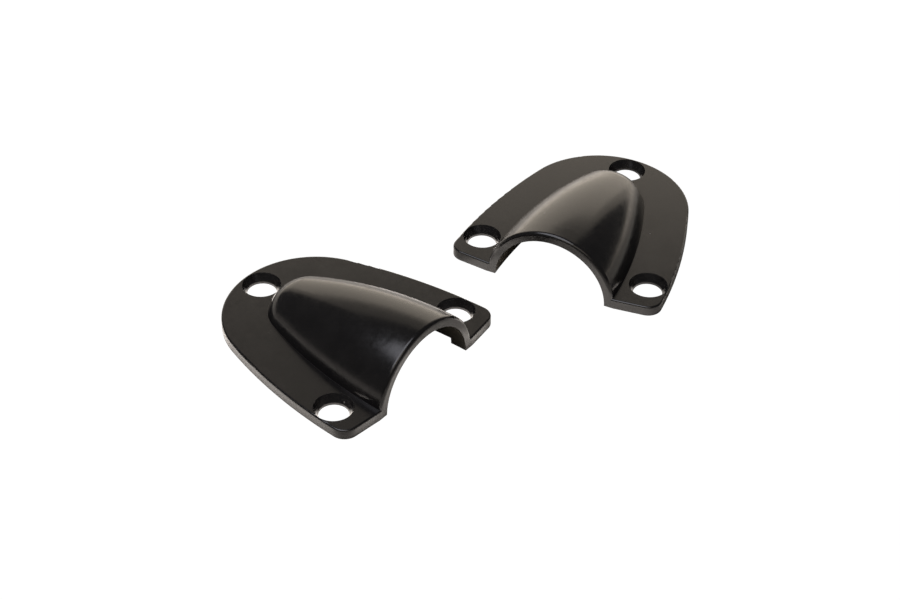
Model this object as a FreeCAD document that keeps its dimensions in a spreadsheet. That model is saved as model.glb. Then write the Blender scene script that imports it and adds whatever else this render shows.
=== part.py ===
"""A pair of loose clamshell vent covers, lying side by side on their undersides.

Each cover is one moulding: a flat flange with three countersunk screw holes, and a
half-dome hood on it that is open at the mouth. One function makes both.

Millimetres. A cover's own frame has X across it, Y from the mouth to the back and Z up
from the underside, with its origin at the middle of the mouth. The pair's origin is
midway between the left cover's two front screws, on the underside.
"""
import FreeCAD, Part
import math
import os
import Sketcher

# ------------------------------------------------------------------ driving sizes

SIZES = [
    # hood: half of a surface of revolution whose axis runs from the mouth to the back
    ("hood_mouth_radius", 16.9, "outer radius of the hood at its mouth"),
    ("hood_length", 46.7, "mouth plane to the hood's back end, along its axis"),
    ("hood_nose_radius", 10.7, "outer radius of the hood's rounded back end"),
    ("hood_wall", 2.4, "wall of the hood"),
    ("hood_axis_drop", 0.4, "depth of the hood's axis below the underside"),
    ("mouth_edge_round", 0.9, "rounding of the hood's outer edge at its mouth"),
    # flange: it holds a screw rim, with a margin each side of it, all round the hood
    ("flange_thickness", 2.6, "thickness of the flange"),
    ("flange_back_radius", 21.9, "radius of the flange's round back edge"),
    ("flange_sweep", 6.7, "degrees that the front edges lean back"),
    ("flange_corner_radius", 3.6, "radius of the two front corners"),
    ("flange_edge_round", 0.45, "rounding of the flange's top edge"),
    ("side_margin", 0.65, "flat left and right of a front screw's rim"),
    ("back_margin", 0.45, "flat before and behind the back screw's rim"),
    # countersunk screw holes: a cone down to a short straight hole
    ("screw_hole_diameter", 7.2, "diameter of the straight part"),
    ("screw_hole_height", 0.6, "height of the straight part"),
    ("screw_rim_diameter", 9.5, "diameter of the cone at the flange's top"),
    ("front_screw_setback", 9.25, "mouth plane to the front screws"),
    # a notch in the foot of the hood's right side, open to the cavity and to the underside
    ("notch_setback", 4.4, "mouth plane to the start of the notch"),
    ("notch_length", 8.0, "length of the notch along the hood"),
    ("notch_height", 1.7, "height of the notch"),
    ("notch_reach", 2.0, "reach of the notch into the foot, at the mouth"),
    # where the right cover lies, seen from the left cover's mouth
    ("right_cover_x", 45.5, "its mouth, across the left cover"),
    ("right_cover_y", -1.53, "its mouth, along the left cover"),
    ("right_cover_turn", -76.67, "degrees that it is turned about Z"),
]

# Sizes that follow from the driving ones. An outline's side arc is centred level with
# the mouth and runs tangent into the round end, which settles its radius.
SIDE_RADIUS = "({half}^2 + {centre}^2 - {end}^2) / (2 * ({half} - {end}))"
DERIVED = [
    ("side_ear", "Sizes.screw_rim_diameter + 2 * Sizes.side_margin"),
    ("back_ear", "Sizes.screw_rim_diameter + 2 * Sizes.back_margin"),
    ("flange_half_width", "Sizes.hood_mouth_radius + side_ear"),
    ("flange_length", "Sizes.hood_length + back_ear"),
    ("flange_back_centre", "flange_length - Sizes.flange_back_radius"),
    ("flange_side_radius", SIDE_RADIUS.format(
        half="flange_half_width", centre="flange_back_centre", end="Sizes.flange_back_radius")),
    ("hood_nose_centre", "Sizes.hood_length - Sizes.hood_nose_radius"),
    ("hood_side_radius", SIDE_RADIUS.format(
        half="Sizes.hood_mouth_radius", centre="hood_nose_centre", end="Sizes.hood_nose_radius")),
    ("hood_foot_width", "2 * sqrt(Sizes.hood_mouth_radius^2 - Sizes.hood_axis_drop^2)"),
    ("cavity_side_radius", "hood_side_radius - Sizes.hood_wall"),
    ("cavity_nose_radius", "Sizes.hood_nose_radius - Sizes.hood_wall"),
    ("notch_side", "Sizes.hood_mouth_radius - Sizes.hood_wall + Sizes.notch_reach"),
    ("front_screw_x", "Sizes.hood_mouth_radius + side_ear / 2"),
    ("back_screw_y", "Sizes.hood_length + back_ear / 2"),
]
ROOM = 1.0      # how far a cutting tool runs past the faces that it cuts
NEAR = 1e-4     # two places nearer than this are the same place

# ------------------------------------------------------------------ document and sheets

doc = FreeCAD.newDocument("vent_covers")


def fill_sheet(name, rows):
    """A sheet with one aliased cell a row; each row is (alias, contents, ...)."""
    sheet = doc.addObject("Spreadsheet::Sheet", name)
    for line, row in enumerate(rows, start=1):
        sheet.set("A%d" % line, str(row[-1]))
        sheet.set("B%d" % line, str(row[1]))
        sheet.setAlias("B%d" % line, row[0])
    doc.recompute()
    return sheet


SHEETS = {
    "Sizes": fill_sheet("Sizes", SIZES),
    "Derived": fill_sheet("Derived", [(alias, "=" + rule, alias) for alias, rule in DERIVED]),
}


def number(cell):
    """The value of a cell given as Sheet.alias."""
    sheet, alias = cell.split(".")
    return float(SHEETS[sheet].get(alias))


# ------------------------------------------------------------------ sketching

START, END, CENTRE = 1, 2, 3
X_AXIS, Y_AXIS = -1, -2
ORIGIN = (-1, 1)
UP = FreeCAD.Vector(0, 0, 1)


def ground_sketch(body, name, height=None):
    """A sketch parallel to the cover's underside, at the height that a rule gives."""
    sketch = body.newObject("Sketcher::SketchObject", name)
    planes = [p for p in body.Origin.OriginFeatures if p.Role == "XY_Plane"]
    sketch.AttachmentSupport = [(planes[0], "")]
    sketch.MapMode = "FlatFace"
    if height:
        sketch.setExpression("AttachmentOffset.Base.z", height)
    return sketch


def add_line(sketch, x0, y0, x1, y1):
    ends = FreeCAD.Vector(x0, y0, 0), FreeCAD.Vector(x1, y1, 0)
    return sketch.addGeometry(Part.LineSegment(*ends), False)


def add_arc(sketch, x, y, radius, angle0, angle1):
    circle = Part.Circle(FreeCAD.Vector(x, y, 0), UP, radius)
    return sketch.addGeometry(Part.ArcOfCircle(circle, angle0, angle1), False)


def tie(sketch, kind, *places):
    return sketch.addConstraint(Sketcher.Constraint(kind, *places))


def size(sketch, name, cell, kind, *places):
    """A dimension that is bound to a cell of the sheets."""
    index = tie(sketch, kind, *places, abs(number(cell)))
    sketch.renameConstraint(index, name)
    sketch.setExpression("Constraints." + name, cell)


def tapered_side(sketch, radius, centre_y, end_radius, sign):
    """The side arc of an outline from the mouth plane to its round end; sign is +1 for
    the right side and -1 for the left. Returns the arc's index."""
    end_radius, centre_y, radius = number(end_radius), number(centre_y), number(radius)
    centre_x = math.sqrt((radius - end_radius) ** 2 - centre_y ** 2)
    turn = math.atan2(centre_y, centre_x)
    angles = (0, turn) if sign > 0 else (math.pi - turn, math.pi)
    return add_arc(sketch, -sign * centre_x, 0, radius, *angles)


def round_end(sketch, radius, centre_y, side_radius, whole):
    """The round end of an outline, from the right side arc to the left one, or to the
    middle when it isn't whole. Returns the arc's index."""
    reach = number(side_radius) - number(radius)
    turn = math.asin(number(centre_y) / reach)
    angles = (turn, math.pi - turn) if whole else (turn, math.pi / 2)
    return add_arc(sketch, 0, number(centre_y), number(radius), *angles)


def hold_end(sketch, arc, radius, centre_y):
    """Centre a round end on the Y axis, at its place and with its radius."""
    tie(sketch, "PointOnObject", arc, CENTRE, Y_AXIS)
    size(sketch, "end_radius", radius, "Radius", arc)
    size(sketch, "end_centre", centre_y, "DistanceY", *ORIGIN, arc, CENTRE)


# ------------------------------------------------------------------ the cover's features


def flange_outline(body):
    """The flange's outline: a straight foot between the hood's legs, front edges that
    lean back from it, and side arcs that run into the round back."""
    sketch = ground_sketch(body, "flange_outline")
    foot = number("Derived.hood_foot_width") / 2
    half = number("Derived.flange_half_width")
    lean = (half - foot) * math.tan(math.radians(number("Sizes.flange_sweep")))
    radius = "Derived.flange_side_radius"
    centre = "Derived.flange_back_centre"
    end = "Sizes.flange_back_radius"
    front = add_line(sketch, -foot, 0, foot, 0)
    right_edge = add_line(sketch, foot, 0, half, lean)
    right_side = tapered_side(sketch, radius, centre, end, 1)
    back = round_end(sketch, end, centre, radius, True)
    left_side = tapered_side(sketch, radius, centre, end, -1)
    left_edge = add_line(sketch, -half, lean, -foot, 0)
    tie(sketch, "Coincident", front, END, right_edge, START)
    tie(sketch, "Coincident", right_edge, END, right_side, START)
    tie(sketch, "Tangent", right_side, END, back, START)
    tie(sketch, "Tangent", back, END, left_side, START)
    tie(sketch, "Coincident", left_side, END, left_edge, START)
    tie(sketch, "Coincident", left_edge, END, front, START)
    tie(sketch, "Symmetric", front, START, front, END, *ORIGIN)
    tie(sketch, "Horizontal", front)
    size(sketch, "foot_width", "Derived.hood_foot_width", "DistanceX", front, START, front, END)
    tie(sketch, "PointOnObject", right_side, CENTRE, X_AXIS)
    tie(sketch, "PointOnObject", left_side, CENTRE, X_AXIS)
    size(sketch, "side_radius", radius, "Radius", right_side)
    tie(sketch, "Equal", right_side, left_side)
    hold_end(sketch, back, end, centre)
    for name, edge, side in (("right_lean", right_edge, 1), ("left_lean", left_edge, -1)):
        angle = tie(sketch, "Angle", edge, side * math.radians(number("Sizes.flange_sweep")))
        sketch.renameConstraint(angle, name)
        sketch.setExpression("Constraints." + name, "%d * Sizes.flange_sweep * 1 deg" % side)
    return sketch


def dome_profile(body, name, side_radius, end_radius, run_out):
    """Half of the hood's plan on its axis, closed along the axis. A profile that cuts
    starts a run-out before the mouth."""
    sketch = ground_sketch(body, name, "0 - Sizes.hood_axis_drop")
    centre = "Derived.hood_nose_centre"
    side = tapered_side(sketch, side_radius, centre, end_radius, 1)
    nose = round_end(sketch, end_radius, centre, side_radius, False)
    mouth_radius = sketch.Geometry[side].StartPoint.x
    tip = number(centre) + number(end_radius)
    spine = add_line(sketch, 0, tip, 0, -run_out)
    mouth = add_line(sketch, 0, -run_out, mouth_radius, -run_out)
    tie(sketch, "Tangent", side, END, nose, START)
    tie(sketch, "Coincident", nose, END, spine, START)
    tie(sketch, "PointOnObject", spine, START, Y_AXIS)
    tie(sketch, "Vertical", spine)
    tie(sketch, "Coincident", spine, END, mouth, START)
    tie(sketch, "Horizontal", mouth)
    tie(sketch, "PointOnObject", side, CENTRE, X_AXIS)
    if run_out:
        lip = add_line(sketch, mouth_radius, -run_out, mouth_radius, 0)
        tie(sketch, "Coincident", mouth, END, lip, START)
        tie(sketch, "Vertical", lip)
        tie(sketch, "Coincident", lip, END, side, START)
        tie(sketch, "DistanceY", lip, START, lip, END, run_out)
    else:
        tie(sketch, "Coincident", mouth, END, side, START)
    tie(sketch, "PointOnObject", side, START, X_AXIS)
    size(sketch, "side_radius", side_radius, "Radius", side)
    hold_end(sketch, nose, end_radius, centre)
    return sketch


def turn_about_axis(body, kind, name, profile, degrees):
    feature = body.newObject(kind, name)
    feature.Profile = profile
    feature.ReferenceAxis = (profile, ["V_Axis"])
    feature.Angle = degrees
    feature.Reversed = True
    return feature


def notch_outline(body):
    """A rectangle from the middle of the cavity into the foot of the hood's right side."""
    sketch = ground_sketch(body, "notch_outline")
    side, start = number("Derived.notch_side"), number("Sizes.notch_setback")
    end = start + number("Sizes.notch_length")
    near = add_line(sketch, 0, start, side, start)
    outer = add_line(sketch, side, start, side, end)
    far = add_line(sketch, side, end, 0, end)
    inner = add_line(sketch, 0, end, 0, start)
    for edge, following in ((near, outer), (outer, far), (far, inner), (inner, near)):
        tie(sketch, "Coincident", edge, END, following, START)
    for edge in (near, far):
        tie(sketch, "Horizontal", edge)
    for edge in (outer, inner):
        tie(sketch, "Vertical", edge)
    tie(sketch, "PointOnObject", near, START, Y_AXIS)
    size(sketch, "side", "Derived.notch_side", "DistanceX", near, START, near, END)
    size(sketch, "length", "Sizes.notch_length", "DistanceY", outer, START, outer, END)
    size(sketch, "setback", "Sizes.notch_setback", "DistanceY", *ORIGIN, near, START)
    return sketch


def screw_circles(body):
    """One circle a screw, on the flange's top."""
    sketch = ground_sketch(body, "screw_circles", "Sizes.flange_thickness")
    x, setback = number("Derived.front_screw_x"), number("Sizes.front_screw_setback")
    centres = [(x, setback), (-x, setback), (0, number("Derived.back_screw_y"))]
    radius = number("Sizes.screw_hole_diameter") / 2
    for centre in centres:
        sketch.addGeometry(Part.Circle(FreeCAD.Vector(*centre, 0), UP, radius), False)
    right, left, back = 0, 1, 2
    size(sketch, "hole_diameter", "Sizes.screw_hole_diameter", "Diameter", right)
    tie(sketch, "Equal", right, left)
    tie(sketch, "Equal", right, back)
    tie(sketch, "Symmetric", right, CENTRE, left, CENTRE, Y_AXIS)
    size(sketch, "front_x", "Derived.front_screw_x", "DistanceX", *ORIGIN, right, CENTRE)
    size(sketch, "front_y", "Sizes.front_screw_setback", "DistanceY", *ORIGIN, right, CENTRE)
    tie(sketch, "PointOnObject", back, CENTRE, Y_AXIS)
    size(sketch, "back_y", "Derived.back_screw_y", "DistanceY", *ORIGIN, back, CENTRE)
    return sketch


def below_ground(body):
    """A circle wider than the flange, to trim what the hood reaches underneath."""
    sketch = ground_sketch(body, "below_ground")
    radius = number("Derived.flange_length")
    sketch.addGeometry(Part.Circle(FreeCAD.Vector(0, 0, 0), UP, radius), False)
    tie(sketch, "Coincident", 0, CENTRE, *ORIGIN)
    size(sketch, "reach", "Derived.flange_length", "Radius", 0)
    return sketch


def edges_where(feature, wanted):
    """Names of a feature's edges that a test picks."""
    edges = feature.Shape.Edges
    return ["Edge%d" % (i + 1) for i, edge in enumerate(edges) if wanted(edge)]


def level(edge, height):
    box = edge.BoundBox
    return abs(box.ZMin - height) < NEAR and abs(box.ZMax - height) < NEAR


def fillet(body, name, base, edges, radius):
    feature = body.newObject("PartDesign::Fillet", name)
    feature.Base = (base, edges)
    feature.setExpression("Radius", radius)
    doc.recompute()
    return feature


def make_cover(name):
    """One cover: flange, hood, cavity, notch and screw holes."""
    body = doc.addObject("PartDesign::Body", name)
    body.Label = name
    top = number("Sizes.flange_thickness")

    flange = body.newObject("PartDesign::Pad", "flange")
    flange.Profile = flange_outline(body)
    flange.setExpression("Length", "Sizes.flange_thickness")
    doc.recompute()
    foot = number("Derived.hood_foot_width") / 2

    def is_corner(edge):
        box = edge.BoundBox
        upright = box.ZLength > top / 2 and box.XLength < NEAR and box.YLength < NEAR
        in_front = box.YMax < number("Sizes.front_screw_setback")
        return upright and in_front and abs(box.Center.x) > foot + ROOM

    corners = fillet(body, "corner_round", flange, edges_where(flange, is_corner),
                     "Sizes.flange_corner_radius")
    fillet(body, "edge_round", corners, edges_where(corners, lambda edge: level(edge, top)),
           "Sizes.flange_edge_round")

    hood_plan = dome_profile(body, "hood_plan", "Derived.hood_side_radius",
                             "Sizes.hood_nose_radius", 0)
    hood = turn_about_axis(body, "PartDesign::Revolution", "hood", hood_plan, 180)
    doc.recompute()

    def is_mouth_rim(edge):
        box = edge.BoundBox
        return max(abs(box.YMin), abs(box.YMax)) < NEAR and box.ZMax > 2 * top

    fillet(body, "mouth_round", hood, edges_where(hood, is_mouth_rim), "Sizes.mouth_edge_round")

    cavity_plan = dome_profile(body, "cavity_plan", "Derived.cavity_side_radius",
                               "Derived.cavity_nose_radius", ROOM)
    turn_about_axis(body, "PartDesign::Groove", "cavity", cavity_plan, 360)

    trim = body.newObject("PartDesign::Pocket", "trim")
    trim.Profile = below_ground(body)
    trim.Type = "ThroughAll"

    notch = body.newObject("PartDesign::Pocket", "notch")
    notch.Profile = notch_outline(body)
    notch.setExpression("Length", "Sizes.notch_height")
    notch.Reversed = True
    doc.recompute()

    holes = body.newObject("PartDesign::Hole", "screw_holes")
    holes.Profile = screw_circles(body)
    doc.recompute()
    holes.DepthType = "ThroughAll"
    holes.HoleCutType = "Countersink"
    holes.HoleCutCustomValues = True
    holes.setExpression("Diameter", "Sizes.screw_hole_diameter")
    holes.setExpression("HoleCutDiameter", "Sizes.screw_rim_diameter")
    holes.setExpression(
        "HoleCutCountersinkAngle",
        "2 * atan((Sizes.screw_rim_diameter - Sizes.screw_hole_diameter) / 2"
        " / (Sizes.flange_thickness - Sizes.screw_hole_height))")
    body.Tip = holes
    doc.recompute()
    return body


# ------------------------------------------------------------------ the pair

left_cover = make_cover("left_cover")
left_cover.setExpression("Placement.Base.y", "0 - Sizes.front_screw_setback")

right_cover = make_cover("right_cover")
right_cover.setExpression("Placement.Base.x", "Sizes.right_cover_x")
right_cover.setExpression("Placement.Base.y", "Sizes.right_cover_y - Sizes.front_screw_setback")
right_cover.Placement.Rotation = FreeCAD.Rotation(UP, number("Sizes.right_cover_turn"))
right_cover.setExpression("Placement.Rotation.Angle", "Sizes.right_cover_turn * 1 deg")
doc.recompute()

# ------------------------------------------------------------------ checks and files

for item in doc.Objects:
    for fault in ("Invalid", "Error"):
        if fault in item.State:
            raise RuntimeError("%s is %s" % (item.Name, fault))

os.makedirs("parts", exist_ok=True)
for body in (left_cover, right_cover):
    if body.Shape.isNull() or not body.Shape.isValid() or len(body.Shape.Solids) != 1:
        raise RuntimeError(body.Label + " isn't one valid solid")
    box = body.Shape.optimalBoundingBox(False)
    print(body.Label, "volume %.1f" % body.Shape.Volume,
          "box %.2f %.2f %.2f to %.2f %.2f %.2f" % (
              box.XMin, box.YMin, box.ZMin, box.XMax, box.YMax, box.ZMax))
    body.Shape.exportStep("parts/" + body.Label + ".step")
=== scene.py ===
"""Two clamshell vent covers in black satin nylon, on a white studio floor.

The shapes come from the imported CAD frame. This script gives them their moulded plastic, and adds
the floor, the light and the camera. Lengths are in metres and angles in degrees.
"""

import math

import bpy
from mathutils import Matrix, Vector


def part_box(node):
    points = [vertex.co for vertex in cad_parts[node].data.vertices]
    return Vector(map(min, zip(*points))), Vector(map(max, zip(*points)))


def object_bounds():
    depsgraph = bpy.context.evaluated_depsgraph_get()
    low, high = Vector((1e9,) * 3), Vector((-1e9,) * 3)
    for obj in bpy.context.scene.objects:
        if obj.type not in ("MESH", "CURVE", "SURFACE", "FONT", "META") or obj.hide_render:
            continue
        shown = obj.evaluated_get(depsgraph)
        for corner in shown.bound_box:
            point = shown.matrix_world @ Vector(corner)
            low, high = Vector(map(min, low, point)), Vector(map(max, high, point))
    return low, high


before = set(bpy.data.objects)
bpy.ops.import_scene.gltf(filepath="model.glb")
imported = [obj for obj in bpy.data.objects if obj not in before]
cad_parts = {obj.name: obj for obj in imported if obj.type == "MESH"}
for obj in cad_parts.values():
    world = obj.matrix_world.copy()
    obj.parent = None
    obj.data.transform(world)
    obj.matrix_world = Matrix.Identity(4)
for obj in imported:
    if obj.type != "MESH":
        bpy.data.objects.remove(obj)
cad_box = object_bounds()

# Turn of each cover's hood about the vertical; at 0 its mouth faces -Y.
COVER_TURNS = {"left_cover": 0.0, "right_cover": -76.67}

# Camera, as an orbit round a point on the floor. Azimuth 0 looks along +Y.
CAMERA_TARGET = Vector((0.0267, 0.00527, 0.0002))
CAMERA_AZIMUTH = -51.96
CAMERA_ELEVATION = 39.255
CAMERA_DISTANCE = 0.497
CAMERA_ROLL = 0.825
CAMERA_LENS_MM = 81.707
SENSOR_WIDTH_MM = 36.0
CAMERA_CLIP = (0.01, 20.0)

# Nylon colours.
PLASTIC_DARK = (0.0066, 0.0062, 0.0063)
PLASTIC_LIGHT = (0.0088, 0.0082, 0.0082)
RUBBED_COLOUR = (0.035, 0.032, 0.030)
SCRATCH_COLOUR = (0.050, 0.047, 0.044)
DUST_COLOUR = (0.16, 0.155, 0.145)
NYLON_IOR = 1.5

# Nylon textures. A scale counts features per metre, and a span holds the two values of a
# texture between which its mark fades in or out.
NOISE_MEAN = 0.5
CLOUD_SCALE = 160.0
CLOUD_DETAIL = 3.0
CLOUD_COLOUR_SPAN = (0.3, 0.7)
CLOUD_SHEEN_SPAN = (0.25, 0.75)
FINE_CLOUD_SCALE = 900.0
FINE_CLOUD_ROUGHNESS = 0.6
FINE_CLOUD_SHEEN_SPAN = (0.3, 0.7)
GRAIN_SCALE = 7500.0
RING_SCALES = (60.0, 2600.0, 60.0)
DUST_CELL_SCALE = 330.0
DUSTLESS_SHARE = 0.93
DUST_SPECK_SPAN = (0.03, 0.09)
SCRATCH_TURN = 31.0
SCRATCH_SCALES = (900.0, 90.0, 300.0)
SCRATCH_LINE_SPAN = (0.0, 0.006)
SCRATCH_PATCH_SCALE = 95.0
SCRATCH_PATCH_SPAN = (0.56, 0.68)
EDGE_REACH = 0.00045
EDGE_SAMPLES = 4
EDGE_SPAN = (0.80, 0.995)
RUBBED_SPAN = (0.40, 0.62)
RELIEF_HEIGHT = 0.0000025

# What each mark does to the nylon's colour, to its roughness and to its relief. The two clouds
# set the roughness between two values; every other number is a share of its mark.
RUBBED_TINT, SCRATCH_TINT, DUST_TINT = 0.25, 0.12, 0.6
CLOUD_SHEEN = (0.165, 0.205)
FINE_CLOUD_SHEEN = (-0.03, 0.04)
SCRATCH_SHEEN, EDGE_SHEEN, DUST_SHEEN = 0.06, 0.16, 0.30
RING_RELIEF, FINE_CLOUD_RELIEF, SCRATCH_RELIEF = 0.8, 0.7, -0.4

# Floor. Light is painted on the table: it is painted brighter, as a painted pool of light, in a halo
# round each cover, and toward the back, as a painted glow. The halo fades out over one span of
# distance from the cover and one of distance to the right of the origin, and the back brightens over
# a span of distance behind the origin.
FLOOR_RADIUS = 5.0
FLOOR_SIDES = 96
FLOOR_DEPTH = 0.00004
FLOOR_GREY = (0.22, 0.22, 0.22)
FLOOR_GLOW = 1.02
TABLE_DEPTH = 0.00002
TABLE_COLOUR = (0.85, 0.79, 0.68)
# painted shade: the share of the table's colour left away from the painted light; painted glow: how
# strongly the back of the table glows
TABLE_PAINTED_SHADE = 0.35
TABLE_PAINTED_GLOW = 0.7
TABLE_BACK_SPAN = (0.085, 0.15)
HALO_EDGE_SPAN = (0.031, 0.036)
HALO_RIGHT_SPAN = (0.058, 0.066)
HALO_SHIFT_TO_MOUTH = 0.006

# Light. A radiance of 1 is a white that just clips. A way is an azimuth, clockwise from where
# the camera looks, and an elevation. A size is a width and a height.
ROOM_RADIANCE = 0.07
WHITE = (1.0, 1.0, 1.0)
WALL_COLOUR = (1.0, 0.885, 0.74)
SOFTBOX_COLOUR = (0.97, 0.97, 1.06)

WALL_RADIANCE = 0.70
WALL_WAY = (-2.3, 0.0)
WALL_DISTANCE = 0.34
WALL_SIZE = (0.62, 0.274)
WALL_MIDDLE_SIZE = (0.49, 0.224)
WALL_LAYER_GAP = 0.001
HAZE_RADIANCE = 0.38
HAZE_SIZE = (0.62, 0.16)
HAZE_FOOT = 0.275

SOFTBOX_RADIANCE = 3.0
SOFTBOX_WAY = (-125.0, 68.0)
SOFTBOX_DISTANCE = 0.9
SOFTBOX_SIZE = (0.86, 0.86)

FILL_RADIANCE = 1.0
FILL_WAY = (180.0, 48.0)
FILL_DISTANCE = 0.7
FILL_SIZE = (0.60, 0.34)

TABLE_LAMP_RADIANCE = 11.0
TABLE_LAMP_WAY = (-115.0, 72.0)
TABLE_LAMP_DISTANCE = 0.15
TABLE_LAMP_SIZE = (0.12, 0.12)

# Results of remap that fade a mark in or out, and the sockets of a Mix node set to colours.
FADE_IN = (0.0, 1.0)
FADE_OUT = (1.0, 0.0)
MIX_FACTOR, MIX_FIRST, MIX_SECOND = 0, 6, 7
MIX_RESULT = 2


# ---------------------------------------------------------------- node helpers

def new_material(name):
    """A material with an empty node tree, and that tree."""
    material = bpy.data.materials.new(name)
    material.use_nodes = True
    material.node_tree.nodes.clear()
    return material, material.node_tree


def add_node(tree, kind, inputs=None, **settings):
    """Adds a node; an input that is a socket is linked, and any other value is set on it."""
    node = tree.nodes.new(kind)
    for name, value in settings.items():
        setattr(node, name, value)
    for key, value in (inputs or {}).items():
        if isinstance(value, bpy.types.NodeSocket):
            tree.links.new(value, node.inputs[key])
        else:
            node.inputs[key].default_value = value
    return node


def opaque(colour):
    """A colour with full alpha, as a socket takes it; a socket stays as it is."""
    return colour if isinstance(colour, bpy.types.NodeSocket) else (*colour, 1.0)


def calculate(tree, operation, first, second=0.0):
    """The output of one Math node."""
    return add_node(tree, "ShaderNodeMath", {0: first, 1: second}, operation=operation).outputs[0]


def add_share(tree, total, mark, share):
    """The total with a share of a mark added to it."""
    return calculate(tree, "ADD", total, calculate(tree, "MULTIPLY", mark, share))


def remap(tree, value, span, result=FADE_IN):
    """Value taken smoothly from the span to the result, and held outside the span."""
    return add_node(tree, "ShaderNodeMapRange",
                    {"Value": value, "From Min": span[0], "From Max": span[1],
                     "To Min": result[0], "To Max": result[1]},
                    interpolation_type="SMOOTHSTEP").outputs["Result"]


def mix_colours(tree, factor, first, second):
    """The two colours mixed by factor."""
    mix = add_node(tree, "ShaderNodeMix",
                   {MIX_FACTOR: factor, MIX_FIRST: opaque(first), MIX_SECOND: opaque(second)},
                   data_type="RGBA")
    return mix.outputs[MIX_RESULT]


def turned(tree, vector, turn=0.0, scales=(1.0, 1.0, 1.0)):
    """The vector scaled along each axis, then turned about Z."""
    return add_node(tree, "ShaderNodeMapping",
                    {"Vector": vector, "Rotation": (0.0, 0.0, math.radians(turn)),
                     "Scale": scales}).outputs["Vector"]


def noise(tree, vector, scale=1.0, detail=2.0, roughness=0.5):
    """The value of a noise texture."""
    return add_node(tree, "ShaderNodeTexNoise",
                    {"Vector": vector, "Scale": scale, "Detail": detail, "Roughness": roughness}
                    ).outputs["Fac"]


def along(tree, vector, direction):
    """How far the vector reaches in a direction."""
    return add_node(tree, "ShaderNodeVectorMath", {0: vector, 1: direction},
                    operation="DOT_PRODUCT").outputs["Value"]


def set_surface(tree, inputs):
    """Gives the material's surface one Principled shader with these inputs."""
    shader = add_node(tree, "ShaderNodeBsdfPrincipled", inputs)
    add_node(tree, "ShaderNodeOutputMaterial", {"Surface": shader.outputs["BSDF"]})


# ---------------------------------------------------------------- nylon

def dust_specks(tree, where):
    """Small round specks, in the few cells of a pattern that draw one."""
    cells = add_node(tree, "ShaderNodeTexVoronoi", {"Vector": where, "Scale": DUST_CELL_SCALE})
    draw = add_node(tree, "ShaderNodeSeparateColor", {"Color": cells.outputs["Color"]}).outputs[0]
    dusty = calculate(tree, "GREATER_THAN", draw, DUSTLESS_SHARE)
    speck = remap(tree, cells.outputs["Distance"], DUST_SPECK_SPAN, FADE_OUT)
    return calculate(tree, "MULTIPLY", dusty, speck)


def faint_scratches(tree, where):
    """Thin lines that run roughly one way, in patches: where a stretched noise is near its mean."""
    wave = noise(tree, turned(tree, where, SCRATCH_TURN, SCRATCH_SCALES), detail=1.0)
    from_mean = calculate(tree, "ABSOLUTE", calculate(tree, "SUBTRACT", wave, NOISE_MEAN))
    line = remap(tree, from_mean, SCRATCH_LINE_SPAN, FADE_OUT)
    patch = remap(tree, noise(tree, where, SCRATCH_PATCH_SCALE), SCRATCH_PATCH_SPAN)
    return calculate(tree, "MULTIPLY", line, patch)


def sharp_edges(tree):
    """1 at a sharp edge, where the normals round a point differ from its own, and 0 elsewhere."""
    rounded = add_node(tree, "ShaderNodeBevel", {"Radius": EDGE_REACH}, samples=EDGE_SAMPLES)
    own = add_node(tree, "ShaderNodeNewGeometry")
    agreement = along(tree, rounded.outputs["Normal"], own.outputs["Normal"])
    return remap(tree, agreement, EDGE_SPAN, FADE_OUT)


def satin_nylon(name, turn):
    """Black moulded nylon: fine grain, faint tool rings, uneven sheen, dust, scuffs, rubbed edges."""
    material, tree = new_material(name)
    where = turned(tree, add_node(tree, "ShaderNodeTexCoord").outputs["Object"], -turn)

    cloud = noise(tree, where, CLOUD_SCALE, CLOUD_DETAIL)
    fine_cloud = noise(tree, where, FINE_CLOUD_SCALE, CLOUD_DETAIL, FINE_CLOUD_ROUGHNESS)
    grain = noise(tree, where, GRAIN_SCALE)
    rings = noise(tree, turned(tree, where, scales=RING_SCALES))
    dust = dust_specks(tree, where)
    scratches = faint_scratches(tree, where)
    edge = sharp_edges(tree)
    rubbed = calculate(tree, "MULTIPLY", edge, remap(tree, fine_cloud, RUBBED_SPAN))

    colour = mix_colours(tree, remap(tree, cloud, CLOUD_COLOUR_SPAN), PLASTIC_DARK, PLASTIC_LIGHT)
    for mark, share, tint in ((rubbed, RUBBED_TINT, RUBBED_COLOUR),
                              (scratches, SCRATCH_TINT, SCRATCH_COLOUR),
                              (dust, DUST_TINT, DUST_COLOUR)):
        colour = mix_colours(tree, calculate(tree, "MULTIPLY", mark, share), colour, tint)

    roughness = calculate(tree, "ADD", remap(tree, cloud, CLOUD_SHEEN_SPAN, CLOUD_SHEEN),
                          remap(tree, fine_cloud, FINE_CLOUD_SHEEN_SPAN, FINE_CLOUD_SHEEN))
    roughness = add_share(tree, roughness, scratches, SCRATCH_SHEEN)
    roughness = add_share(tree, roughness, edge, EDGE_SHEEN)
    roughness = add_share(tree, roughness, dust, DUST_SHEEN)

    height = add_share(tree, grain, rings, RING_RELIEF)
    height = add_share(tree, height, fine_cloud, FINE_CLOUD_RELIEF)
    height = add_share(tree, height, scratches, SCRATCH_RELIEF)
    relief = add_node(tree, "ShaderNodeBump",
                      {"Height": height, "Distance": RELIEF_HEIGHT, "Strength": 1.0})

    set_surface(tree, {"Base Color": colour, "Roughness": roughness, "IOR": NYLON_IOR,
                       "Normal": relief.outputs["Normal"]})
    return material


# ---------------------------------------------------------------- floor

def toward(azimuth, elevation):
    """The unit vector at this azimuth, clockwise from where the camera looks, and elevation."""
    heading = math.radians(CAMERA_AZIMUTH - azimuth)
    level = math.radians(elevation)
    return Vector((-math.sin(heading) * math.cos(level), math.cos(heading) * math.cos(level),
                   math.sin(level)))


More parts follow.
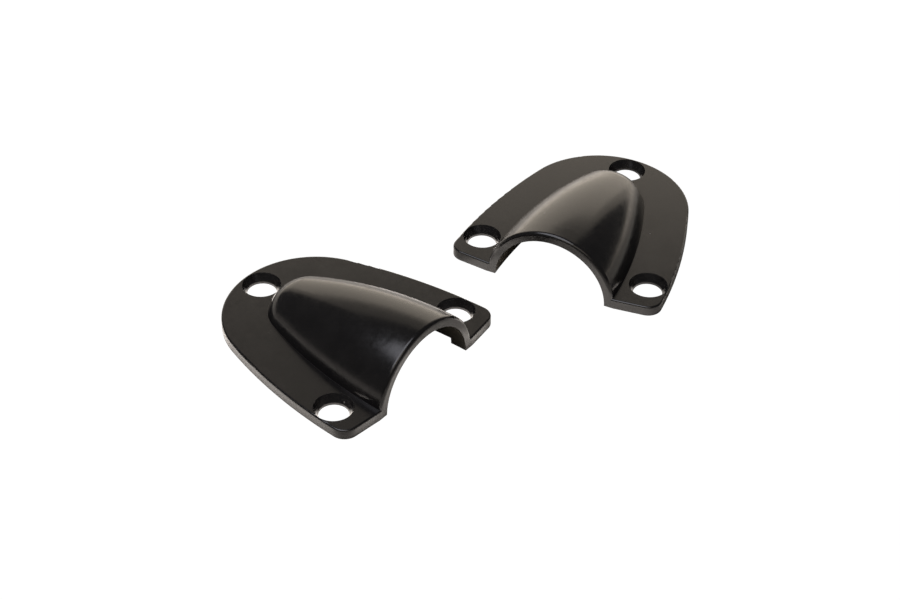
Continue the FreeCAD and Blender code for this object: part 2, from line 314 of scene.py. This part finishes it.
def set_matt_surface(tree, colour, glow_colour, glow):
    """Gives the material a matt surface that glows too."""
    set_surface(tree, {"Base Color": opaque(colour), "Roughness": 1.0, "Specular IOR Level": 0.0,
                       "Emission Color": opaque(glow_colour), "Emission Strength": glow})


def glowing_white():
    """The floor that the camera sees: a white that glows, so that it photographs as clean white."""
    material, tree = new_material("floor_white")
    set_matt_surface(tree, FLOOR_GREY, WHITE, FLOOR_GLOW)
    return material


def table_painted_light(centres, back, right):
    """The floor that the plastic reflects: matt white paper with light painted on it, brightest in a
    painted pool of light close round the covers, except on the right, which is painted shade, and
    toward the back, where a painted glow stands in for the light off the wall."""
    material, tree = new_material("table_painted_light")
    where = add_node(tree, "ShaderNodeTexCoord").outputs["Object"]
    nearest = FLOOR_RADIUS
    for centre in centres:
        away = add_node(tree, "ShaderNodeVectorMath", {0: where, 1: centre}, operation="DISTANCE")
        nearest = calculate(tree, "MINIMUM", nearest, away.outputs["Value"])
    # painted pool of light round each cover, cut off toward the right as painted shade
    near = remap(tree, nearest, HALO_EDGE_SPAN, FADE_OUT)
    near = calculate(tree, "MULTIPLY", near,
                     remap(tree, along(tree, where, right), HALO_RIGHT_SPAN, FADE_OUT))
    # painted light toward the back, standing in for the light off the wall
    behind = remap(tree, along(tree, where, back), TABLE_BACK_SPAN)
    painted_light_mask = calculate(tree, "MAXIMUM", near, behind)
    # painted shade: the table's colour darkened wherever the painted light is absent
    painted_shade_colour = tuple(TABLE_PAINTED_SHADE * part for part in TABLE_COLOUR)
    colour = mix_colours(tree, painted_light_mask, painted_shade_colour, TABLE_COLOUR)
    # the back of the table glows in the wall's colour: painted light, though it is no lamp
    set_matt_surface(tree, colour, WALL_COLOUR, calculate(tree, "MULTIPLY", behind, TABLE_PAINTED_GLOW))
    return material


def make_disc(name, depth, material):
    """A flat round sheet of the floor, this deep under the covers."""
    turns = [2 * math.pi * i / FLOOR_SIDES for i in range(FLOOR_SIDES)]
    corners = [(FLOOR_RADIUS * math.cos(t), FLOOR_RADIUS * math.sin(t), -depth) for t in turns]
    mesh = bpy.data.meshes.new(name)
    mesh.from_pydata(corners, [], [tuple(range(FLOOR_SIDES))])
    mesh.materials.append(material)
    disc = bpy.data.objects.new(name, mesh)
    bpy.context.scene.collection.objects.link(disc)
    return disc


def halo_centre(cover, turn):
    """The middle of a cover's footprint, moved a little toward its mouth, on the floor."""
    low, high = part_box(cover)
    heading = math.radians(turn)
    mouth_way = Vector((math.sin(heading), -math.cos(heading), 0.0))
    centre = (Vector(low) + Vector(high)) / 2 + mouth_way * HALO_SHIFT_TO_MOUTH
    centre.z = 0.0
    return centre


# The floor is two sheets: the camera sees a clean white one, and the plastic reflects a matt one,
# with the covers' shadows on it, and painted light round the covers and toward the back.
floor = make_disc("floor", FLOOR_DEPTH, glowing_white())
floor.visible_diffuse = False
floor.visible_glossy = False
floor.visible_shadow = False
halo_centres = [halo_centre(cover, turn) for cover, turn in COVER_TURNS.items()]
table = make_disc("table", TABLE_DEPTH,
                  table_painted_light(halo_centres, toward(0.0, 0.0), toward(90.0, 0.0)))
table.visible_camera = False


# ---------------------------------------------------------------- light

middle = (cad_box[0] + cad_box[1]) / 2
middle.z = 0.0


def add_panel(name, centre, facing, size, radiance, colour, shape="RECTANGLE"):
    """A flat light that shines toward facing; the camera doesn't see it."""
    light = bpy.data.lights.new(name, "AREA")
    light.shape = shape
    light.size, light.size_y = size
    light.color = colour
    area = size[0] * size[1] * (math.pi / 4 if shape == "ELLIPSE" else 1.0)
    light.energy = radiance * math.pi * area
    panel = bpy.data.objects.new(name, light)
    turn = facing.to_track_quat("-Z", "Y").to_matrix().to_4x4()
    panel.matrix_world = Matrix.Translation(centre) @ turn
    panel.visible_camera = False
    bpy.context.scene.collection.objects.link(panel)
    return panel


def add_wall_panel(name, distance, foot, size, radiance):
    """An upright light on the wall's side, with its lower edge at the height foot."""
    wall_way = toward(*WALL_WAY)
    centre = middle + wall_way * distance + Vector((0.0, 0.0, foot + size[1] / 2))
    return add_panel(name, centre, -wall_way, size, radiance, WALL_COLOUR)


def add_lamp(name, way, distance, size, radiance, colour, shape="RECTANGLE"):
    """A light placed that way from the middle of the covers, and aimed at it."""
    outward = toward(*way)
    return add_panel(name, middle + outward * distance, -outward, size, radiance, colour, shape)


# the white wall that the hoods reflect, in two layers with a haze above, so that its edge is soft
add_wall_panel("back_wall_middle", WALL_DISTANCE, 0.0, WALL_MIDDLE_SIZE, WALL_RADIANCE)
add_wall_panel("back_wall", WALL_DISTANCE + WALL_LAYER_GAP, 0.0, WALL_SIZE, WALL_RADIANCE)
add_wall_panel("back_wall_haze", WALL_DISTANCE, HAZE_FOOT, HAZE_SIZE, HAZE_RADIANCE)

# the round softbox, high up and left of the camera
add_lamp("softbox", SOFTBOX_WAY, SOFTBOX_DISTANCE, SOFTBOX_SIZE, SOFTBOX_RADIANCE, SOFTBOX_COLOUR,
         "ELLIPSE")

# a weak fill above and behind the camera, for the sides of the covers that face it
add_lamp("fill", FILL_WAY, FILL_DISTANCE, FILL_SIZE, FILL_RADIANCE, WALL_COLOUR)

# a close light that only brightens the table round the covers
table_lamp = add_lamp("table_lamp", TABLE_LAMP_WAY, TABLE_LAMP_DISTANCE, TABLE_LAMP_SIZE,
                      TABLE_LAMP_RADIANCE, SOFTBOX_COLOUR)
table_lamp.visible_glossy = False
lit_by_lamp = bpy.data.collections.new("lit_by_lamp")
lit_by_lamp.objects.link(table)
table_lamp.light_linking.receiver_collection = lit_by_lamp

world = bpy.data.worlds.new("room")
bpy.context.scene.world = world
world.use_nodes = True
room = world.node_tree.nodes["Background"]
room.inputs["Color"].default_value = opaque(WHITE)
room.inputs["Strength"].default_value = ROOM_RADIANCE


# ---------------------------------------------------------------- covers

for cover, turn in COVER_TURNS.items():
    nylon = satin_nylon(cover + "_nylon", turn)
    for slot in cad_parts[cover].material_slots:
        slot.material = nylon


# ---------------------------------------------------------------- camera

def aim_camera():
    """Puts the camera on its orbit, looking at the target, rolled a little."""
    lens = bpy.data.cameras.new("camera")
    lens.lens = CAMERA_LENS_MM
    lens.sensor_width = SENSOR_WIDTH_MM
    lens.clip_start, lens.clip_end = CAMERA_CLIP
    camera = bpy.data.objects.new("camera", lens)
    bpy.context.scene.collection.objects.link(camera)
    back = -toward(0.0, -CAMERA_ELEVATION)
    turn = back.to_track_quat("Z", "Y").to_matrix().to_4x4()
    roll = Matrix.Rotation(math.radians(CAMERA_ROLL), 4, "Z")
    camera.matrix_world = Matrix.Translation(CAMERA_TARGET + back * CAMERA_DISTANCE) @ turn @ roll
    bpy.context.scene.camera = camera


aim_camera()
bpy.context.scene.view_settings.view_transform = "Standard"
